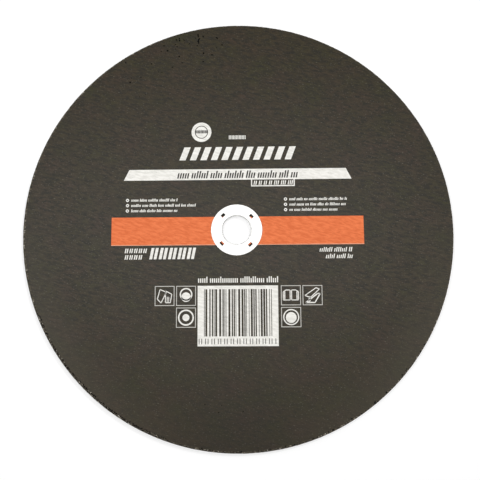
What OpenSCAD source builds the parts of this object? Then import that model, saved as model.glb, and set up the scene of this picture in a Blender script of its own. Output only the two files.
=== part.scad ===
// Flat cut-off wheel: a pressed abrasive disc, a printed paper face and a stamped steel bore ring.
// It lies on its back: Z is the axis, the printed face is up, the origin is the bore at the back face.
// The paper runs under the ring's flange, where four lanced windows show it.

/* [Wheel] */
// Outside diameter of the wheel
wheel_d = 300; // [240:1:400]
// Thickness of the wheel, over the printed face
wheel_t = 3; // [2.6:0.1:6]
// Rounding of the moulded rim's two edges
rim_round = 0.3; // [0.1:0.05:0.4]

/* [Paper face] */
// Thickness of the pressed paper
paper_t = 0.12; // [0.08:0.01:0.2]
// Bare grit round the paper where it lies true
paper_margin = 0.95; // [0.95:0.05:5]
// Distance that the paper was pressed off centre
paper_shift = 0.5; // [0:0.1:0.5]
// Direction of that shift, counter-clockwise from +X
paper_shift_dir = 45; // [0:5:355]

/* [Bore ring] */
// Diameter of the bore
bore_d = 20; // [16:0.1:32]
// Thickness of the ring's sheet metal
sheet_t = 0.4; // [0.3:0.05:0.6]
// Width of the flange, from the bore wall to its outer edge
flange_w = 7.9; // [7:0.1:12]
// Rounding of the flange's outer edge, as a punch leaves it
flange_round = 0.15; // [0.05:0.05:0.25]
// Inside radius of the bend from flange to collar
collar_bend = 0.15; // [0.1:0.05:0.3]
// Height of the collar's end above the back face
collar_stop = 0.2; // [0.1:0.05:0.5]
// Skin of resin between the ring and what it is moulded into
seat_gap = 0.02; // [0.01:0.01:0.05]

/* [Claws] */
// Number of lanced claws
claw_count = 4; // [3:1:6]
// Direction of the first claw, counter-clockwise from +X
claw_start = 42.5; // [0:0.5:90]
// Distance from the bore wall to a window's inner edge
window_in = 2.9; // [2.6:0.1:3.6]
// Length of a window along the radius
window_l = 2.3; // [1.8:0.05:2.4]
// Width of a window along the circle
window_w = 2.95; // [2:0.05:3.5]
// Room between a claw and each side of its window
claw_side = 0.05; // [0.02:0.01:0.2]
// Inside radius of a claw's bend
claw_bend = 0.05; // [0.05:0.05:0.2]
// Width of the tear that a claw leaves beside it in the paper and the abrasive
claw_tear = 1; // [0.2:0.1:1]

/* [Print] */
// Depth of the ink fields in the paper
ink_t = 0.04; // [0.02:0.01:0.06]
// Distance of the print's centre line from the bore, along +X
print_x = 0.6; // [-2:0.1:2]
// Length of the orange band
band_w = 175.8; // [120:0.2:190]
// Height of the orange band
band_h = 19.8; // [16:0.1:30]
// Distance of the band's centre from the bore, along +X
band_x = 0.3; // [-2:0.1:2]
// Distance of the band's centre from the bore, along +Y
band_y = -0.7; // [-3:0.1:3]

/* [Title bar] */
// Length of the white bar's lower edge
title_w = 160.4; // [120:0.2:180]
// Height of the white bar
title_h = 7.7; // [5:0.1:10]
// Distance of the bar's lower edge from the bore
title_y = 35.5; // [30:0.5:45]
// Amount by which each end slants in towards the top
title_slant = 3.8; // [0:0.1:8]
// Length of the tab under the bar
tab_w = 30.7; // [20:0.1:40]
// Height of the tab under the bar
tab_h = 4.9; // [3:0.1:8]
// Width of the line round the tab
tab_line = 0.8; // [0.4:0.1:1.2]
// Distance of the tab's left end from the print's centre line
tab_x = 9.7; // [-40:0.1:20]

/* [Stripe row] */
// Number of slanted stripes over the title bar
stripe_count = 11; // [5:1:15]
// Length of the stripe row
stripe_row_w = 82; // [50:1:120]
// Height of the stripes
stripe_h = 9.4; // [5:0.1:14]
// Distance of the stripes' lower edge from the title bar
stripe_gap = 6.6; // [3:0.1:12]
// Share of the row that is white
stripe_share = 0.6; // [0.3:0.05:0.8]
// Sideways lean of a stripe over its height
stripe_lean = 3.6; // [0:0.1:8]

/* [Round mark] */
// Radius of the round mark
mark_r = 7.1; // [5:0.1:10]
// Width of the dark line inside the round mark's edge
mark_line = 0.5; // [0.4:0.1:1.2]
// Width of the white edge outside that line
mark_edge = 2.4; // [0.8:0.1:3]
// Distance of the round mark's centre from the print's centre line
mark_x = -25.3; // [-50:0.1:50]
// Distance of the round mark's centre from the bore
mark_y = 70.2; // [66:0.2:80]

/* [Bar panel] */
// Width of the white panel
panel_w = 55.3; // [40:0.1:60]
// Height of the white panel
panel_h = 41; // [30:0.5:46]
// Distance of the panel's top edge from the bore
panel_y = -38.7; // [-45:0.1:-33]
// White left at each side of the bars
bar_side = 4.4; // [1:0.1:6]
// White left over the bars
bar_head = 2.4; // [1:0.1:4]
// White left under the bars
bar_foot = 6.6; // [3:0.1:10]
// Number of dark bars
bar_count = 28; // [12:1:36]

/* [Tiles] */
// Side of a tile's frame
tile_s = 13.6; // [10:0.1:15]
// Width of a frame's line
tile_line = 0.5; // [0.4:0.1:1.5]
// Space between tiles, and between the left tiles and the panel
tile_gap = 1.2; // [0.6:0.1:3]
// Space between the right tiles and the panel
tile_gap_right = 1.9; // [0.6:0.1:3]

/* [Hidden] */
$fn = 180;

// Overshoot of every cutting solid
over = 1;

wheel_r = wheel_d / 2;
bore_r = bore_d / 2;

// Ring section: flange, collar and the bend between them
flange_r = bore_r + flange_w;
flange_z = wheel_t - sheet_t;
lip_r = collar_bend + sheet_t;
collar_top = wheel_t - lip_r;

// Claw section: the window's blank bent down at its outer edge
window_r = bore_r + window_in;
hinge_r = window_r + window_l;
claw_w = window_w - 2 * claw_side;
claw_lip = claw_bend + sheet_t;
claw_drop = window_l - PI / 2 * (claw_bend + sheet_t / 2);
claw_top = wheel_t - claw_lip;
claw_tip = claw_top - claw_drop;

// Seat that the flange is pressed into, with the paper between
seat_r = flange_r + seat_gap;
seat_top = flange_z - seat_gap;
seat_z = seat_top - paper_t;
throat_r = bore_r + lip_r + seat_gap;
paper_r = wheel_r - paper_margin;

// Print layout, from the print's centre line
title_top = title_y + title_h;
stripe_y = title_top + stripe_gap;
stripe_pitch = stripe_row_w / stripe_count;
tile_step = tile_s + tile_gap;

// Bars of mixed widths, in units that fill the panel between its margins
function bar_units(i) = 1 + (2 * i + floor(i / 3)) % 3;
function space_units(i) = 1 + (5 * i + floor(i / 4)) % 3;
function bar_start(i) = i == 0 ? 0 : bar_start(i - 1) + bar_units(i - 1) + space_units(i - 1);
bar_total = bar_start(bar_count - 1) + bar_units(bar_count - 1);
bar_unit = (panel_w - 2 * bar_side) / bar_total;
bar_h = panel_h - bar_head - bar_foot;

grit_color = "#34312d";
paper_color = "#45413a";
orange_color = "#e87a4e";
white_color = "#ebe8e4";
steel_color = "#d9d9d6";

// One quarter of a bent sheet, its hollow side facing +X and -Y
module bend_quarter(inside, outside) {
    intersection() {
        difference() {
            circle(outside);
            circle(inside);
        }
        translate([-outside, 0])
            square(outside);
    }
}

// Half section of the whole wheel, with its rim edges rounded
module wheel_section() {
    square([wheel_r - rim_round, wheel_t]);
    translate([0, rim_round])
        square([wheel_r, wheel_t - 2 * rim_round]);
    for (z = [rim_round, wheel_t - rim_round])
        translate([wheel_r - rim_round, z])
            circle(rim_round);
}

// Room in the abrasive for the collar, its bend and the pressed flange
module ring_room_section() {
    translate([0, -over])
        square([bore_r + sheet_t + seat_gap, wheel_t + 2 * over]);
    translate([0, collar_top - seat_gap])
        square([throat_r, wheel_t]);
    translate([0, seat_z])
        square([seat_r + paper_t, wheel_t]);
}

// Half section of the paper: flat on the wheel, stepped down under the flange
module paper_section() {
    translate([throat_r, seat_z])
        square([seat_r + paper_t - throat_r, paper_t]);
    translate([seat_r, seat_z])
        square([paper_t, wheel_t - seat_z]);
    translate([seat_r, wheel_t - paper_t])
        square([wheel_r - seat_r, paper_t]);
}

// Half section of the ink: the paper's top skin, down the step and under the flange
module ink_section(above) {
    translate([throat_r, seat_top - ink_t])
        square([seat_r + ink_t - throat_r, ink_t + above]);
    translate([seat_r, seat_top - ink_t])
        square([ink_t, wheel_t - seat_top + ink_t + above]);
    translate([seat_r, wheel_t - ink_t])
        square([wheel_r - seat_r, ink_t + above]);
}

// Half section of the ring: flange, bend and collar from one sheet
module ring_section() {
    translate([bore_r, collar_stop])
        square([sheet_t, collar_top - collar_stop]);
    translate([bore_r + lip_r, collar_top])
        bend_quarter(collar_bend, lip_r);
    translate([bore_r + lip_r, flange_z])
        square([flange_w - lip_r - flange_round, sheet_t]);
    translate([bore_r + lip_r, flange_z])
        square([flange_w - lip_r, sheet_t - flange_round]);
    translate([flange_r - flange_round, wheel_t - flange_round])
        circle(flange_round);
}

// A rectangle whose upper left corner is rounded
module shoulder(width, height, rounding) {
    difference() {
        square([width, height]);
        translate([0, height - rounding])
            difference() {
                translate([-over, 0])
                    square([over + rounding, over + rounding]);
                translate([rounding, 0])
                    circle(rounding);
            }
    }
}

// Section of one claw: its root in the flange, the bend at the window's outer edge and the leg below it
module claw_section() {
    translate([hinge_r - claw_lip, claw_tip])
        difference() {
            shoulder(2 * claw_lip, wheel_t - claw_tip, claw_lip);
            translate([sheet_t, -over])
                shoulder(2 * claw_lip, flange_z - claw_tip + over, claw_bend);
        }
}

// Section of the tear that a claw makes in the paper and the abrasive
module claw_slit_section() {
    translate([hinge_r - claw_lip - claw_tear, claw_tip - seat_gap])
        square([claw_tear + sheet_t + seat_gap, claw_drop + seat_gap]);
    translate([hinge_r - claw_lip - claw_tear, claw_top - seat_gap])
        square([claw_tear + claw_lip + seat_gap, wheel_t]);
}

// The children repeated at every claw
module at_claws() {
    for (i = [0 : claw_count - 1])
        rotate([0, 0, claw_start + i * 360 / claw_count])
            children();
}

// A radial section given a width along the circle
module across(width) {
    rotate([90, 0, 0])
        linear_extrude(width, center = true)
            children();
}

module claw_slits() {
    at_claws()
        across(claw_w + 2 * seat_gap)
            claw_slit_section();
}

// The paper's outline, pressed a little off centre
module paper_outline(depth) {
    translate([paper_shift * cos(paper_shift_dir), paper_shift * sin(paper_shift_dir), wheel_t - depth])
        cylinder(r = paper_r, h = depth + over);
}

// Orange fields of the print
module orange_fields() {
    translate([band_x - band_w / 2, band_y - band_h / 2])
        square([band_w, band_h]);
}

// White title bar with slanted ends, and the outlined tab that hangs from it
module title_bar() {
    polygon([
        [-title_w / 2, title_y],
        [title_w / 2, title_y],
        [title_w / 2 - title_slant, title_top],
        [-title_w / 2 + title_slant, title_top]
    ]);
    difference() {
        translate([tab_x, title_y - tab_h])
            square([tab_w, tab_h + title_h / 2]);
        translate([tab_x + tab_line, title_y - tab_h + tab_line])
            square([tab_w - 2 * tab_line, tab_h - tab_line]);
    }
}

// Row of slanted stripes
module stripe_row() {
    stripe_w = stripe_pitch * stripe_share;
    for (i = [0 : stripe_count - 1])
        translate([i * stripe_pitch - stripe_row_w / 2, stripe_y])
            polygon([
                [0, 0],
                [stripe_w, 0],
                [stripe_w + stripe_lean, stripe_h],
                [stripe_lean, stripe_h]
            ]);
}

// Round mark: a white edge, a dark line and a white middle
module round_mark() {
    translate([mark_x, mark_y])
        difference() {
            circle(mark_r);
            difference() {
                circle(mark_r - mark_edge);
                circle(mark_r - mark_edge - mark_line);
            }
        }
}

// White panel with dark bars left open in it
module bar_panel() {
    difference() {
        translate([-panel_w / 2, panel_y - panel_h])
            square([panel_w, panel_h]);
        for (i = [0 : bar_count - 1])
            translate([bar_start(i) * bar_unit + bar_side - panel_w / 2, panel_y - panel_h + bar_foot])
                square([bar_units(i) * bar_unit, bar_h]);
    }
}

// One square frame, placed by its column from the panel and its row from the top
module tile_frame(side, column, row) {
    inner_x = panel_w / 2 + (side > 0 ? tile_gap_right : tile_gap) + column * tile_step;
    tile_x = side > 0 ? inner_x : -inner_x - tile_s;
    translate([tile_x, panel_y - tile_s - row * tile_step])
        difference() {
            square(tile_s);
            translate([tile_line, tile_line])
                square(tile_s - 2 * tile_line);
        }
}

// White fields of the print
module white_fields() {
    translate([print_x, 0]) {
        title_bar();
        stripe_row();
        round_mark();
        bar_panel();
        for (side = [-1, 1]) {
            tile_frame(side, 0, 0);
            tile_frame(side, 1, 0);
            tile_frame(side, 0, 1);
        }
    }
}

// Ink of one colour, as a skin of the paper, kept above it when it cuts the paper
module ink(above) {
    intersection() {
        rotate_extrude()
            ink_section(above);
        linear_extrude(wheel_t + over + above)
            children();
    }
}

// Pressed abrasive body, with seats for the paper, the ring and its claws
module abrasive_disc() {
    color(grit_color)
        difference() {
            rotate_extrude()
                difference() {
                    wheel_section();
                    ring_room_section();
                }
            paper_outline(paper_t);
            claw_slits();
        }
}

// Printed paper, pressed flush into the face and run under the flange
module paper_face() {
    color(paper_color)
        difference() {
            intersection() {
                rotate_extrude()
                    paper_section();
                paper_outline(wheel_t);
            }
            ink(over)
                orange_fields();
            ink(over)
                white_fields();
            claw_slits();
        }
}

module orange_print() {
    color(orange_color)
        difference() {
            ink(0)
                orange_fields();
            claw_slits();
        }
}

module white_print() {
    color(white_color)
        difference() {
            ink(0)
                white_fields();
            claw_slits();
        }
}

// Stamped ring: flange and collar from one sheet, with windows whose blanks are bent down as claws
module bore_ring() {
    color(steel_color) {
        difference() {
            rotate_extrude()
                ring_section();
            at_claws()
                translate([window_r, -window_w / 2, flange_z - over])
                    cube([window_l, window_w, sheet_t + 2 * over]);
        }
        at_claws()
            across(claw_w)
                claw_section();
    }
}

abrasive_disc();
paper_face();
orange_print();
white_print();
bore_ring();
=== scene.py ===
import math
import random

import bmesh
import bpy
from mathutils import Matrix, Vector
from mathutils import noise as turbulence


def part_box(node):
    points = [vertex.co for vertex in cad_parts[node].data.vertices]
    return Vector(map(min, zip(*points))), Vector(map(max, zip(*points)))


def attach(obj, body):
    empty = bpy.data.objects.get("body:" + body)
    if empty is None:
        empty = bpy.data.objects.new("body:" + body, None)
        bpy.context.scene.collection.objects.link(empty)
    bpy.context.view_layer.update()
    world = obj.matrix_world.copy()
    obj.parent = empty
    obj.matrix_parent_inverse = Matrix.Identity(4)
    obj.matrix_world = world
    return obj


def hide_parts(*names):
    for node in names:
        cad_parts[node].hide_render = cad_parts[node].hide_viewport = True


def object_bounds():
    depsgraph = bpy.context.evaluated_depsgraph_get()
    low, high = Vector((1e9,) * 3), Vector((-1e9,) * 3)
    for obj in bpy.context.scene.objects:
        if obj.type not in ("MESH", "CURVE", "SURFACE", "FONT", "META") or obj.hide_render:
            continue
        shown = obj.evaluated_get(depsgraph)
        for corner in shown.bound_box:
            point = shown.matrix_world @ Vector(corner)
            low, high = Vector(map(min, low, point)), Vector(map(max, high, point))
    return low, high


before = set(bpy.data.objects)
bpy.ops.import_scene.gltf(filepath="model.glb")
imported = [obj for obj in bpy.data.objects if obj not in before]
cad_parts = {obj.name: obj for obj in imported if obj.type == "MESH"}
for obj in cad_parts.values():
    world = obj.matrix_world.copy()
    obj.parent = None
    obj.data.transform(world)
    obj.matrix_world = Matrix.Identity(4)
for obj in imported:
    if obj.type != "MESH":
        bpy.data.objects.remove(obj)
cad_low, cad_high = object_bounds()
scene = bpy.context.scene
scene.view_settings.view_transform = "Standard"

MM = 0.001
FULL_TURN = 2 * math.pi

# The wheel's own sizes, read from the solids
WHEEL_R = cad_high.x
WHEEL_TOP = cad_high.z
ring_low, ring_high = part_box("bore_ring")
paper_low, paper_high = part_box("paper_face")
band_low, band_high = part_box("orange_print")
FLANGE_R = ring_high.x
PAPER_R = (paper_high.x - paper_low.x) / 2
PAPER_CENTRE = Vector(((paper_high.x + paper_low.x) / 2, (paper_high.y + paper_low.y) / 2, 0))

# Room for the ring: the seat under its flange and the throat round its collar
INK_DEPTH = 0.04 * MM
SEAT_TOP = band_low.z + INK_DEPTH
SEAT_GAP = 0.02 * MM
SEAT_WALL_R = FLANGE_R + 2 * SEAT_GAP
THROAT_R = 10.57 * MM
COLLAR_ROOM_R = 10.42 * MM

# Tears that the ring's claws leave in the paper and the abrasive
CLAW_START = math.radians(42.5)
CLAW_COUNT = 4
TEAR_IN = 13.75 * MM
TEAR_OUT = 15.22 * MM
TEAR_W = 2.89 * MM
TEAR_FOOT = 0.62 * MM

# Creped paper: its thickness, how far the ink stands over it, and how its creases lie
PAPER_T = 0.12 * MM
INK_STAND = 0.012 * MM
CREASE_DEPTH = 0.035 * MM
CREASE_LENGTH = 5.5 * MM
CREASE_WIDTH = 1.5 * MM
CREASE_LEAN = math.radians(-12)

# Print: its centre line in millimetres, and the heights of white strokes and dark films
PRINT_X = 0.6
STROKE_TOP = WHEEL_TOP - 0.002 * MM
STROKE_FOOT = WHEEL_TOP - 0.06 * MM
FILM_TOP = WHEEL_TOP + 0.004 * MM
FILM_FOOT = WHEEL_TOP - 0.01 * MM


# Small tools for node trees


def feed(tree, socket, value):
    """Sets a socket to a number or a tuple, or links it to another socket."""
    if isinstance(value, (int, float, tuple)):
        socket.default_value = value
    else:
        tree.links.new(value, socket)


def fresh_material(name):
    """A material with only an output and a principled shader."""
    material = bpy.data.materials.new(name)
    material.use_nodes = True
    tree = material.node_tree
    tree.nodes.clear()
    output = tree.nodes.new("ShaderNodeOutputMaterial")
    shader = tree.nodes.new("ShaderNodeBsdfPrincipled")
    tree.links.new(shader.outputs["BSDF"], output.inputs["Surface"])
    return material, tree, shader


def lying(tree, length, width, lean, depth=None):
    """Object coordinates turned by a lean and stretched so that one unit is one crease."""
    place = tree.nodes.new("ShaderNodeTexCoord")
    turn = tree.nodes.new("ShaderNodeMapping")
    turn.inputs["Rotation"].default_value = (0, 0, -lean)
    tree.links.new(place.outputs["Object"], turn.inputs["Vector"])
    stretch = tree.nodes.new("ShaderNodeMapping")
    stretch.inputs["Scale"].default_value = (1 / length, 1 / width, 1 / (depth or width))
    tree.links.new(turn.outputs["Vector"], stretch.inputs["Vector"])
    return stretch.outputs["Vector"]


def noise(tree, vector, detail=2.0, roughness=0.5, distortion=0.0):
    """Noise of scale 1 on the given coordinates."""
    node = tree.nodes.new("ShaderNodeTexNoise")
    node.inputs["Scale"].default_value = 1
    node.inputs["Detail"].default_value = detail
    node.inputs["Roughness"].default_value = roughness
    node.inputs["Distortion"].default_value = distortion
    tree.links.new(vector, node.inputs["Vector"])
    return node.outputs["Fac"]


def span(tree, value, low, high, to_low=0.0, to_high=1.0):
    """A clamped map from one span of values to another."""
    node = tree.nodes.new("ShaderNodeMapRange")
    node.inputs["From Min"].default_value = low
    node.inputs["From Max"].default_value = high
    node.inputs["To Min"].default_value = to_low
    node.inputs["To Max"].default_value = to_high
    tree.links.new(value, node.inputs["Value"])
    return node.outputs["Result"]


def combine(tree, operation, first, second=0.0):
    """A math node on sockets or numbers."""
    node = tree.nodes.new("ShaderNodeMath")
    node.operation = operation
    feed(tree, node.inputs[0], first)
    feed(tree, node.inputs[1], second)
    return node.outputs["Value"]


def plus(tree, first, second):
    """The sum of two sockets or numbers."""
    return combine(tree, "ADD", first, second)


def times(tree, first, second):
    """The product of two sockets or numbers."""
    return combine(tree, "MULTIPLY", first, second)


def vector_math(tree, operation, first, second):
    """A vector math node on sockets or tuples."""
    node = tree.nodes.new("ShaderNodeVectorMath")
    node.operation = operation
    feed(tree, node.inputs[0], first)
    feed(tree, node.inputs[1], second)
    return node.outputs["Vector"]


def tint(tree, amount, first, second):
    """A mix of two colours, each a socket or a tuple."""
    node = tree.nodes.new("ShaderNodeMix")
    node.data_type = "RGBA"
    tree.links.new(amount, node.inputs["Factor"])
    for socket, colour in ((node.inputs[6], first), (node.inputs[7], second)):
        feed(tree, socket, (*colour, 1) if isinstance(colour, tuple) else colour)
    return node.outputs[2]


def bump(tree, shader, height, strength, distance):
    """Relief too fine for the mesh."""
    node = tree.nodes.new("ShaderNodeBump")
    node.inputs["Strength"].default_value = strength
    node.inputs["Distance"].default_value = distance
    tree.links.new(height, node.inputs["Height"])
    tree.links.new(node.outputs["Normal"], shader.inputs["Normal"])


def reach_from_axis(tree):
    """Across, up and straight distance from the bore's axis."""
    place = tree.nodes.new("ShaderNodeTexCoord")
    parts = tree.nodes.new("ShaderNodeSeparateXYZ")
    tree.links.new(place.outputs["Object"], parts.inputs["Vector"])
    x = parts.outputs["X"]
    y = parts.outputs["Y"]
    square = plus(tree, times(tree, x, x), times(tree, y, y))
    return x, y, combine(tree, "POWER", square, 0.5)


def linear(red, green, blue):
    """Screen colour, 0 to 255, as the linear values that sockets take."""
    def one(value):
        value = value / 255
        return value / 12.92 if value <= 0.04045 else ((value + 0.055) / 1.055) ** 2.4
    return (one(red), one(green), one(blue))


# Creped paper

OLIVE_PAPER = linear(45, 42, 14)
BROWN_PAPER = linear(54, 40, 26)
CREASE_SHADE = linear(30, 26, 14)
PALE_FLECK = linear(96, 91, 78)
DARK_PORE = linear(18, 17, 14)
# Painted sheen: a paler paper colour by the lower rim; painted shade: a darker one at the foot
SHEEN_PAINTED_PAPER = linear(76, 71, 60)
SHADE_PAINTED_PAPER = linear(12, 11, 8)

# Length and width of the paper's mottling, flecks and pores
MOTTLE_SIZE = (20 * MM, 14 * MM)
FLECK_SIZE = (1.3 * MM, 0.6 * MM)
PORE_SIZE = (1.2 * MM, 0.7 * MM)
FLECK_SHARE = 0.65
PORE_SHARE = 0.8

# Folds of the paper, coarse to fine, each with its share of the height
WRINKLES = {"length": 5.4 * MM, "width": 1.5 * MM, "lean": CREASE_LEAN * 1.2, "share": 0.52}
SHORT_CREASES = {"length": 3.2 * MM, "width": 0.9 * MM, "lean": CREASE_LEAN, "share": 0.4}
FIBRES = {"length": 1.6 * MM, "width": 0.35 * MM, "lean": CREASE_LEAN * 0.5, "share": 0.08}
FOLD_LEVEL = 0.6
FOLD_RELIEF = 0.12 * MM

# Zones of painted sheen by the lower rim, painted shade at the foot and smoother creases lower down, from
# the bore's axis: each pair runs from none to full
SHEEN_REACH = (122 * MM, 147 * MM)
SHEEN_Y = (20 * MM, -70 * MM)
SHEEN_ASIDE = (25 * MM, 110 * MM)
SHEEN_SHARE = 0.3
FOOT_SHADE_ASIDE = (50 * MM, 15 * MM)
FOOT_SHADE_Y = (-95 * MM, -130 * MM)
FOOT_SHADE_SHARE = 0.22
SMOOTH_Y = (-45 * MM, -105 * MM)
SMOOTH_CREASES = 0.5


def fold(tree, length, width, lean, share, detail, roughness, distortion=0.0):
    """One size of fold, weighed by its share of the paper's height."""
    return times(tree, noise(tree, lying(tree, length, width, lean), detail, roughness, distortion), share)


def crepe_height(tree):
    """Wrinkles, short creases and fine fibres of the pressed paper, shared by the paper and its inks."""
    wrinkles = fold(tree, **WRINKLES, detail=1.0, roughness=0.4, distortion=0.6)
    creases = fold(tree, **SHORT_CREASES, detail=2.0, roughness=0.5, distortion=0.5)
    fibres = fold(tree, **FIBRES, detail=2.0, roughness=0.6)
    return plus(tree, plus(tree, wrinkles, creases), fibres)


def sheen_shade_and_creases(tree):
    """How far the paper takes painted sheen by the lower rim and painted shade at the foot, and how strongly
    it is creased.
    """
    x, y, reach = reach_from_axis(tree)
    aside = combine(tree, "ABSOLUTE", x)
    low_rim = times(tree, span(tree, reach, *SHEEN_REACH), span(tree, y, *SHEEN_Y))
    # Painted sheen: paler paper near the lower rim, away from the middle
    painted_sheen = times(tree, low_rim, span(tree, aside, *SHEEN_ASIDE))
    # Painted shade: darker paper at the foot, near the middle
    painted_shade = times(tree, span(tree, aside, *FOOT_SHADE_ASIDE), span(tree, y, *FOOT_SHADE_Y))
    creased = span(tree, y, *SMOOTH_Y, 1.0, SMOOTH_CREASES)
    return painted_sheen, painted_shade, creased


def creped_paper():
    """Dark warm grey paper with folds and painted shade in their creases, soft mottling, pale flecks, dark
    pores, painted sheen by the lower rim and painted shade at the foot.
    """
    material, tree, shader = fresh_material("creped_paper")
    height = crepe_height(tree)
    painted_sheen, painted_shade, creased = sheen_shade_and_creases(tree)
    mottle = noise(tree, lying(tree, *MOTTLE_SIZE, CREASE_LEAN, MOTTLE_SIZE[0]), 3.0, 0.55)
    ground = tint(tree, span(tree, mottle, 0.3, 0.7), OLIVE_PAPER, BROWN_PAPER)
    # Painted shade: the paper darkens towards CREASE_SHADE in its creases, less where the creases smooth out
    swing = combine(tree, "SUBTRACT", span(tree, height, 0.4, 0.58), FOLD_LEVEL)
    crease_shaded = tint(tree, plus(tree, times(tree, swing, creased), FOLD_LEVEL), CREASE_SHADE, ground)
    fleck = noise(tree, lying(tree, *FLECK_SIZE, CREASE_LEAN), 1.0, 0.5)
    flecked = tint(tree, span(tree, fleck, 0.64, 0.74, 0, FLECK_SHARE), crease_shaded, PALE_FLECK)
    pore = noise(tree, lying(tree, *PORE_SIZE, CREASE_LEAN * 2), 1.0, 0.5)
    pored = tint(tree, span(tree, pore, 0.65, 0.71, 0, PORE_SHARE), flecked, DARK_PORE)
    # Painted sheen by the lower rim, then painted shade at the foot, mixed into the paper's colour
    with_painted_sheen = tint(tree, times(tree, painted_sheen, SHEEN_SHARE), pored, SHEEN_PAINTED_PAPER)
    final = tint(tree, times(tree, painted_shade, FOOT_SHADE_SHARE), with_painted_sheen, SHADE_PAINTED_PAPER)
    tree.links.new(final, shader.inputs["Base Color"])
    tree.links.new(span(tree, height, 0.3, 0.7, 0.52, 0.42), shader.inputs["Roughness"])
    shader.inputs["Specular IOR Level"].default_value = 0.32
    bump(tree, shader, times(tree, height, creased), 0.6, FOLD_RELIEF)
    return material


# Inks: each has its colour on flat paper, a darker one in the creases that is painted shade, and one where
# it is thin

ORANGE = (linear(239, 128, 78), linear(221, 111, 64), linear(130, 80, 52))
WHITE = (linear(247, 245, 239), linear(228, 226, 219), linear(130, 126, 118))
BLACK = (linear(58, 54, 50), linear(46, 43, 39), linear(120, 116, 108))
PALE_UNDER = (linear(246, 178, 146), linear(238, 160, 126), linear(190, 120, 90))
MISSED_SIZE = (0.9 * MM, 0.45 * MM)
MISSED_SHARE = 0.6

# The tiles' thin frames lie beside the striped panel and below this height
FRAMES_ASIDE = (28.0 * MM, 28.4 * MM)
FRAMES_Y = (-30 * MM, -31 * MM)
FAINT_FRAMES = 0.45


def tile_frames(tree):
    """Share of the white print that is thin frames."""
    x, y, _ = reach_from_axis(tree)
    beside = span(tree, combine(tree, "ABSOLUTE", x), *FRAMES_ASIDE)
    return times(tree, beside, span(tree, y, *FRAMES_Y))


def ink(name, flat, deep, thin, faint_frames=0.0):
    """Matt print: it takes a darker colour in the creases as painted shade, misses small pores and may be
    faint on the tiles' frames.
    """
    material, tree, shader = fresh_material(name)
    height = crepe_height(tree)
    # Painted shade: the ink takes its darker colour where the paper is creased
    pressed = tint(tree, span(tree, height, 0.4, 0.6), deep, flat)
    missed = noise(tree, lying(tree, *MISSED_SIZE, CREASE_LEAN), 1.0, 0.5)
    final = tint(tree, span(tree, missed, 0.7, 0.8, 0, MISSED_SHARE), pressed, thin)
    if faint_frames:
        final = tint(tree, times(tree, tile_frames(tree), faint_frames), final, thin)
    tree.links.new(final, shader.inputs["Base Color"])
    tree.links.new(span(tree, height, 0.3, 0.7, 0.72, 0.6), shader.inputs["Roughness"])
    shader.inputs["Specular IOR Level"].default_value = 0.2
    bump(tree, shader, height, 0.5, FOLD_RELIEF)
    return material


# Stamped sheet, resin, glass yarn and broken grit

SHEET_DULL = (0.44, 0.435, 0.42)
SHEET_BRIGHT = (0.5, 0.494, 0.478)
# Painted highlight: the collar's sheet colour is raised so its bend mirrors lighter
COLLAR_PAINTED_HIGHLIGHT = (0.84, 0.835, 0.82)
COLLAR_REACH = (11.2 * MM, 10.4 * MM)
COLLAR_BRUSHED = 0.3
ROLLING_SIZE = (14 * MM, 0.25 * MM)
ROLLING_LEAN = math.radians(35)
HANDLING_SIZE = (3.5 * MM, 2.6 * MM)
RESIN_DARK = linear(50, 46, 39)
RESIN_PALE = linear(84, 78, 66)
GRAIN_PALE = linear(136, 128, 114)
GRAIN_SIZE = 0.7 * MM
YARN_DARK = linear(60, 54, 45)
YARN_PALE = linear(104, 95, 78)
YARN_MOTTLE = 2.5 * MM
YARN_THREAD = 0.35 * MM
SPECK_SIZE = 0.2 * MM


def tinplate():
    """Bright stamped sheet with faint rolling lines, handling marks and a rougher collar whose paler colour
    is a painted highlight.
    """
    material, tree, shader = fresh_material("tinplate")
    rolling = noise(tree, lying(tree, *ROLLING_SIZE, ROLLING_LEAN), 3.0, 0.6)
    handling = noise(tree, lying(tree, *HANDLING_SIZE, 0), 3.0, 0.6)
    sheet = tint(tree, span(tree, handling, 0.35, 0.7), SHEET_DULL, SHEET_BRIGHT)
    _, _, reach = reach_from_axis(tree)
    collar = span(tree, reach, *COLLAR_REACH)
    # Painted highlight: the collar takes the paler sheet colour
    tree.links.new(tint(tree, collar, sheet, COLLAR_PAINTED_HIGHLIGHT), shader.inputs["Base Color"])
    shader.inputs["Metallic"].default_value = 1
    rolled = span(tree, rolling, 0.3, 0.7, 0.24, 0.4)
    tree.links.new(plus(tree, rolled, times(tree, collar, COLLAR_BRUSHED)), shader.inputs["Roughness"])
    bump(tree, shader, rolling, 0.06, 0.05 * MM)
    return material


def resin_grit():
    """Black resin with brown and grey grains showing in it."""
    material, tree, shader = fresh_material("resin_grit")
    place = tree.nodes.new("ShaderNodeTexCoord")
    grains = tree.nodes.new("ShaderNodeTexVoronoi")
    grains.inputs["Scale"].default_value = 1 / GRAIN_SIZE
    tree.links.new(place.outputs["Object"], grains.inputs["Vector"])
    pick = tree.nodes.new("ShaderNodeSeparateColor")
    tree.links.new(grains.outputs["Color"], pick.inputs["Color"])
    body = tint(tree, span(tree, pick.outputs["Red"], 0.2, 0.9), RESIN_DARK, RESIN_PALE)
    final = tint(tree, span(tree, pick.outputs["Green"], 0.86, 0.95), body, GRAIN_PALE)
    tree.links.new(final, shader.inputs["Base Color"])
    tree.links.new(span(tree, pick.outputs["Blue"], 0, 1, 0.45, 0.9), shader.inputs["Roughness"])
    shader.inputs["Specular IOR Level"].default_value = 0.15
    bump(tree, shader, grains.outputs["Distance"], 0.5, 0.15 * MM)
    return material


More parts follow.
